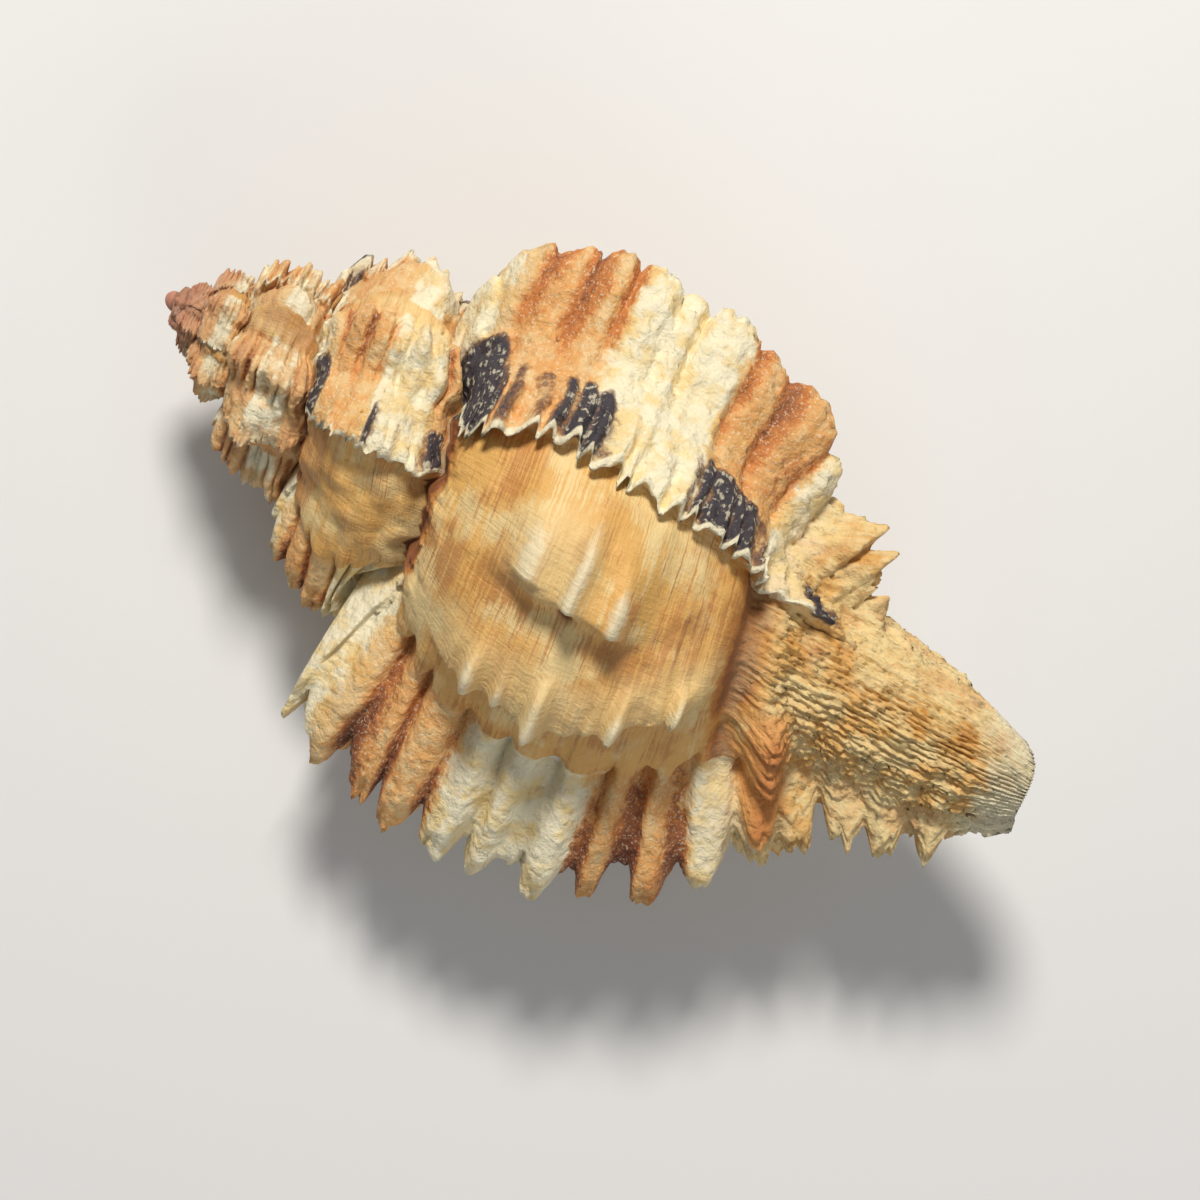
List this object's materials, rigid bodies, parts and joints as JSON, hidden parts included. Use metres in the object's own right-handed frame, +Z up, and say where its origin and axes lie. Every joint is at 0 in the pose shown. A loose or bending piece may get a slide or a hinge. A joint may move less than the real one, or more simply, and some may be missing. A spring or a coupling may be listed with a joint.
{
  "type": "murex shell",
  "caption": "Spiny spiral sea shell lying on its aperture, with frilled varices, a short spire and a broad open canal",
  "frame": {"origin": "middle of the footprint's bounding box, on the surface the shell rests on", "axes": "+X from the apex to the tip of the canal, +Z up, aperture facing down, outer lip towards -Y"},
  "size_m": [0.085, 0.0514, 0.0391],
  "materials": {
    "shell": "dull chalky cream, orange-brown and dark brown"
  },
  "bodies": {
    "root": {"shell": "shell"}
  },
  "joints": []
}
